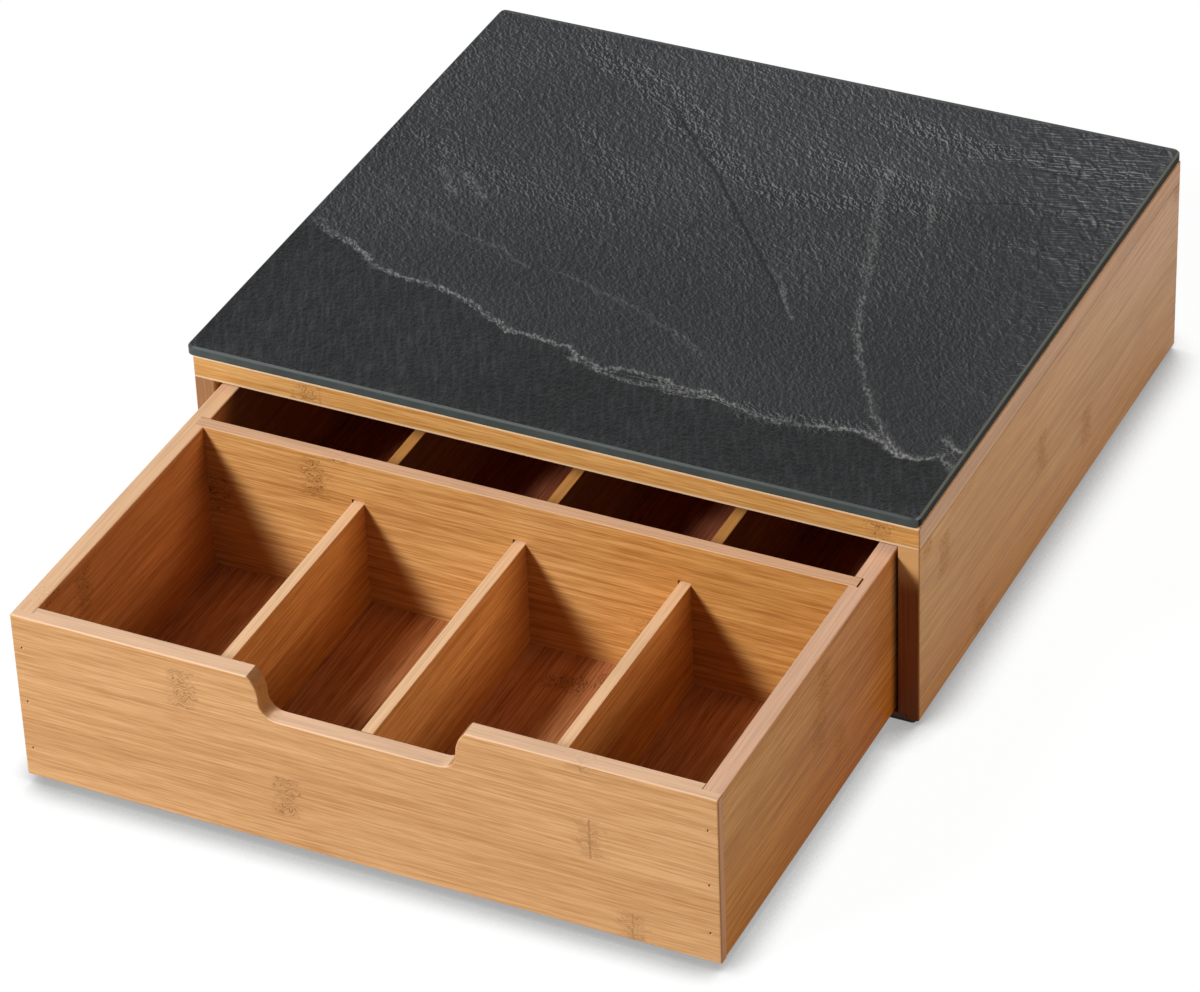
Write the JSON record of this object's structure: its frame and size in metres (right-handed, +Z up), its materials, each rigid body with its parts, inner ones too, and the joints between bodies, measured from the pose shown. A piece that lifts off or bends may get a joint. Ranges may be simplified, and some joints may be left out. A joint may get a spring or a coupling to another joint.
{
  "type": "coffee capsule drawer",
  "caption": "Low bamboo box with a dark stone-look glass top and one sliding drawer divided into compartments for coffee capsules.",
  "frame": {"origin": "on the surface that the feet stand on, below the middle of the footprint that the case and the drawer make with the drawer open as stored", "axes": "+Z up, the drawer's front faces -Y and the drawer opens towards -Y, +X to the right of someone who faces the drawer's front"},
  "size_m": [0.3102, 0.445, 0.097],
  "materials": {
    "bamboo": "laminated bamboo, satin clear lacquer, fine grain with nodes",
    "slate_glass": "tempered glass, opaque dark slate look, finely embossed, polished bevelled rim",
    "clear_pad": "clear soft plastic pad",
    "rubber": "matt black rubber",
    "steel": "plain steel brad"
  },
  "bodies": {
    "case": {"glass_top_plate": "slate_glass", "glass_pads": "clear_pad", "top_board": "bamboo", "left_side_board": "bamboo", "right_side_board": "bamboo", "back_board": "bamboo", "bottom_panel": "bamboo", "rubber_feet": "rubber", "top_brads": "steel", "bottom_brads": "steel"},
    "drawer": {"drawer_front_board": "bamboo", "drawer_left_side": "bamboo", "drawer_right_side": "bamboo", "drawer_back_board": "bamboo", "drawer_floor_panel": "bamboo", "cross_divider": "bamboo", "front_divider_1": "bamboo", "front_divider_2": "bamboo", "front_divider_3": "bamboo", "rear_divider_1": "bamboo", "rear_divider_2": "bamboo", "rear_divider_3": "bamboo", "front_corner_brads": "steel", "rear_corner_brads": "steel"}
  },
  "joints": [
    {"name": "drawer_slide", "type": "slide", "parent": "case", "child": "drawer", "axis": [0, -1, 0], "range_m": [-0.162, 0.0715]}
  ]
}
